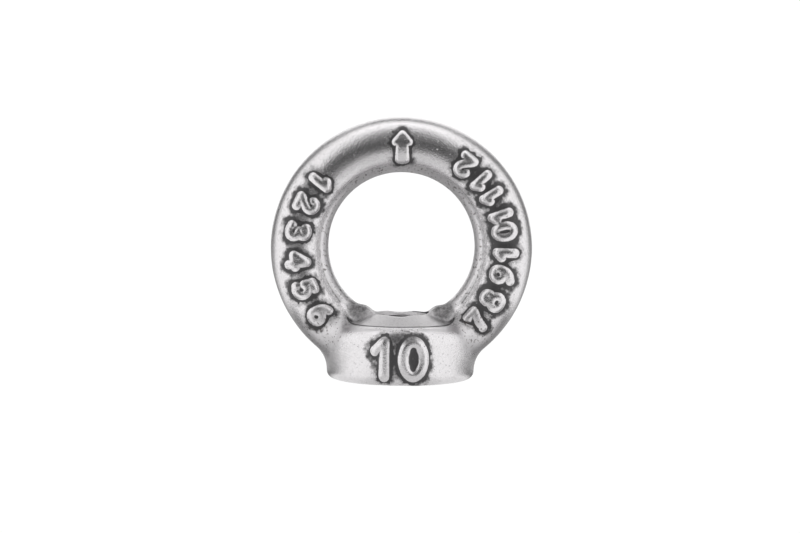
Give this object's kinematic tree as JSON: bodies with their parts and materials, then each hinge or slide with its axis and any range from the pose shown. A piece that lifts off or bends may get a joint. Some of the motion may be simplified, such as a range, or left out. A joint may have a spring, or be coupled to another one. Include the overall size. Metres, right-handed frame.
{
  "type": "lifting eye nut",
  "caption": "Cast ring standing on a round collar that is tapped from below, screwed onto a stud as a lifting or lashing eye.",
  "frame": {"origin": "centre of the base face, on the thread axis", "axes": "+Z along the thread axis, up through the ring; +Y along the axis of the eye, so the ring lies in the XZ plane"},
  "size_m": [0.045, 0.0254, 0.045],
  "materials": {
    "cast_steel": "cast stainless steel, tumbled bright, with fine grain and dark residue in the hollows"
  },
  "bodies": {
    "root": {"eye_nut": "cast_steel"}
  },
  "joints": []
}
